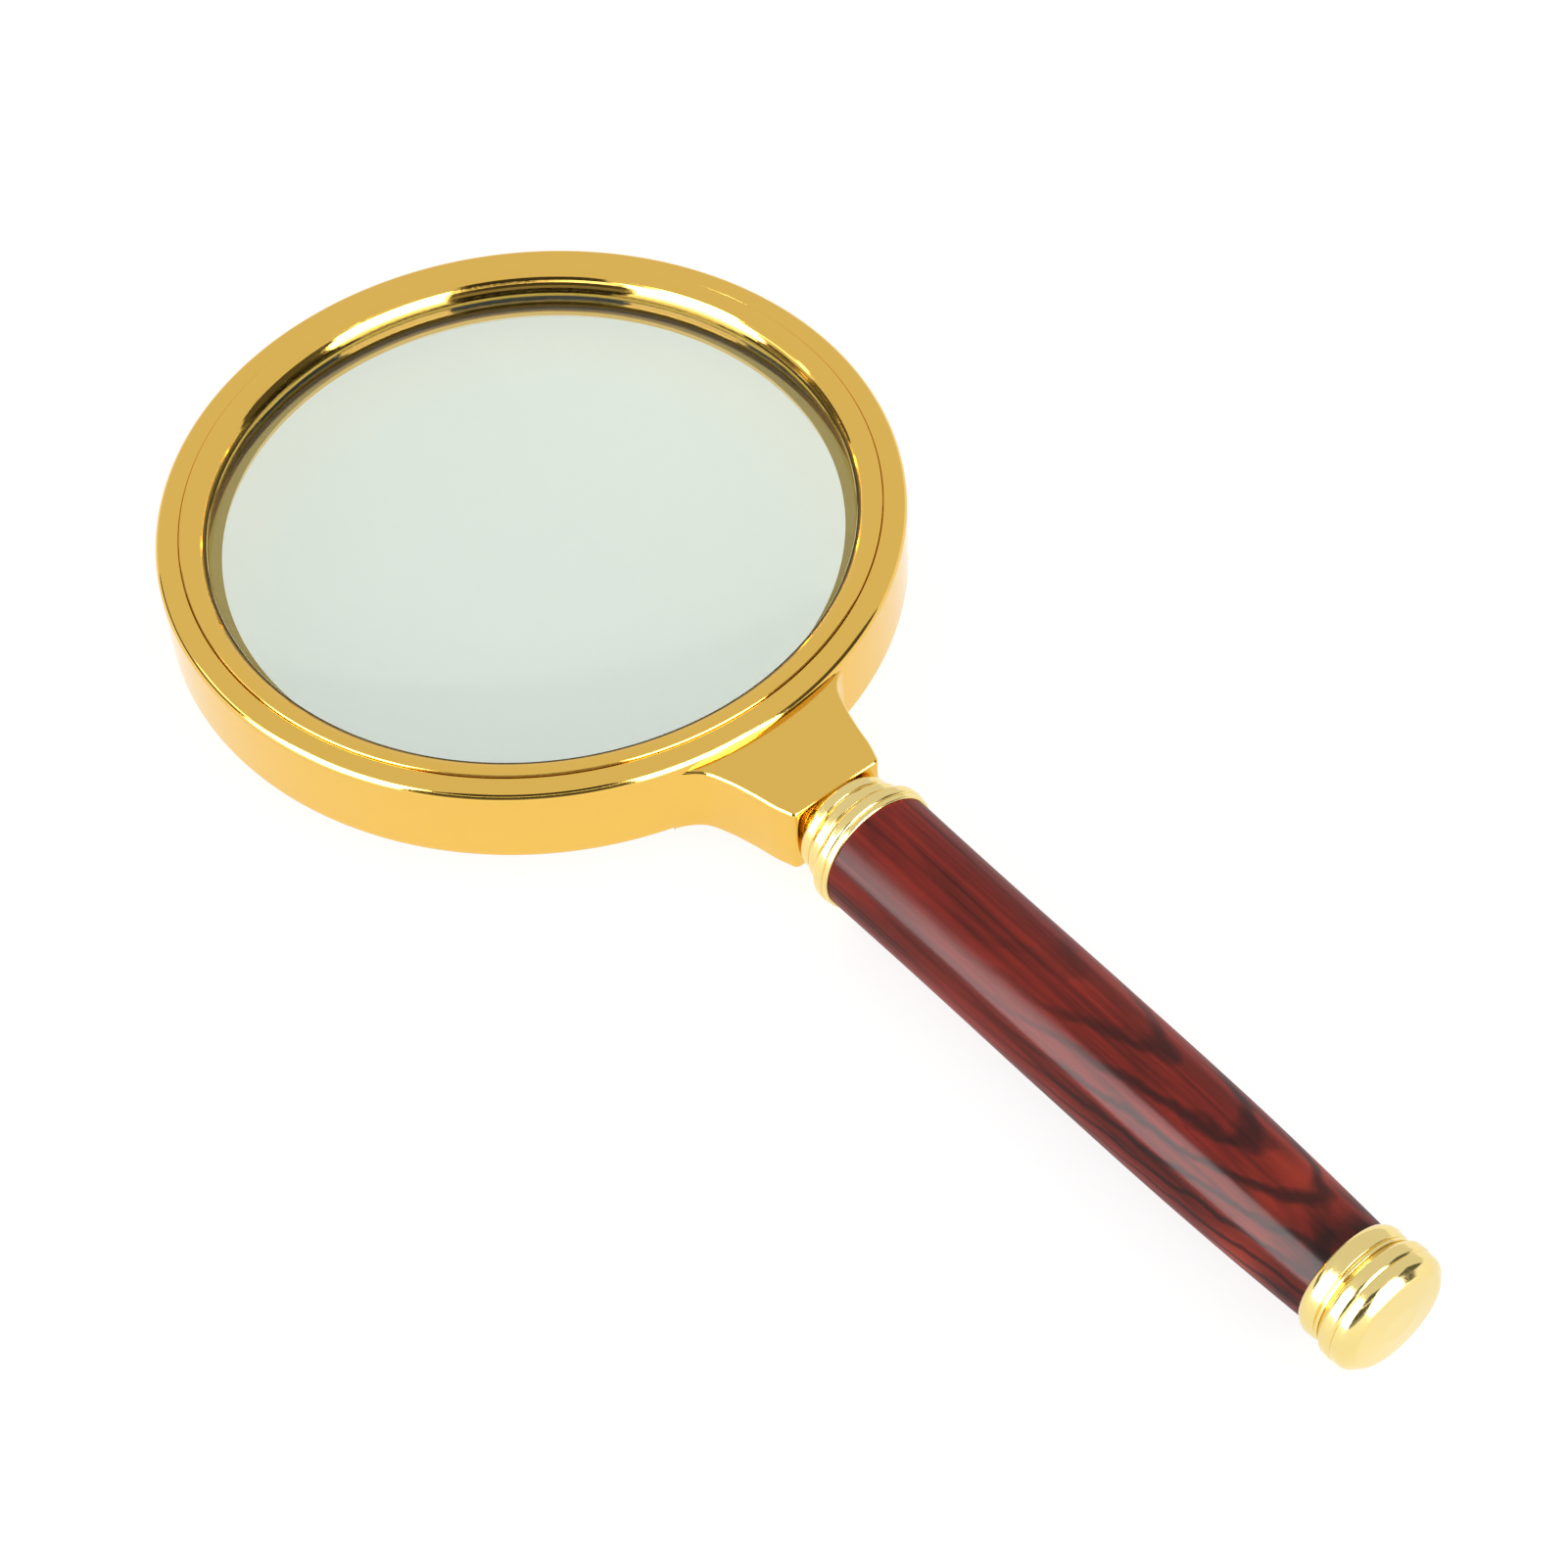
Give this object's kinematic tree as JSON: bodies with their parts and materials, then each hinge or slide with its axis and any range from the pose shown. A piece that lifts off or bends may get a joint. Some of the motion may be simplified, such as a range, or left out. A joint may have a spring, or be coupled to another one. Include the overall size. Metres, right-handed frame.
{
  "type": "magnifying glass",
  "caption": "Hand magnifier: biconvex lens in a gold-plated ring with a flared neck, and a turned dark wood handle with stepped brass ferrule and domed end cap that screws off the neck.",
  "frame": {"origin": "below the middle of the overall length, at the height of the lowest point (the underside of the front ferrule's flange), with the magnifier face up", "axes": "+X from the lens along the handle, +Y across, +Z along the lens's optical axis, out of its front face"},
  "size_m": [0.2054, 0.097, 0.0172],
  "materials": {
    "gold_plate": "mirror-polished gold plate",
    "pale_brass": "polished pale brass, lacquered",
    "optical_glass": "clear polished glass with a faint green cast",
    "rosewood": "high-gloss varnish over dark red-brown rosewood",
    "cushion_rubber": "matte black",
    "zinc_steel": "zinc-plated, lightly oiled"
  },
  "bodies": {
    "frame": {"lens_frame": "gold_plate", "lens": "optical_glass", "lens_cushion": "cushion_rubber", "retaining_ring": "gold_plate"},
    "washer": {"neck_washer": "pale_brass"},
    "handle": {"front_ferrule": "pale_brass", "handle_grip": "rosewood", "tie_rod": "zinc_steel", "end_collar": "pale_brass", "end_washer": "zinc_steel", "rod_nut": "zinc_steel", "end_cap": "pale_brass"}
  },
  "joints": [
    {"name": "handle_travel", "type": "slide", "parent": "frame", "child": "washer", "axis": [1, 0, 0], "range_m": [0, 0.01]},
    {"name": "handle_turn", "type": "hinge", "parent": "washer", "child": "handle", "pos_m": [0.00985, 0, 0.0086], "axis": [1, 0, 0], "range_deg": [0, 3601]}
  ],
  "couplings": [
    {"joint": "handle_turn", "follows": "handle_travel", "rad_per_m": 6283.2}
  ]
}
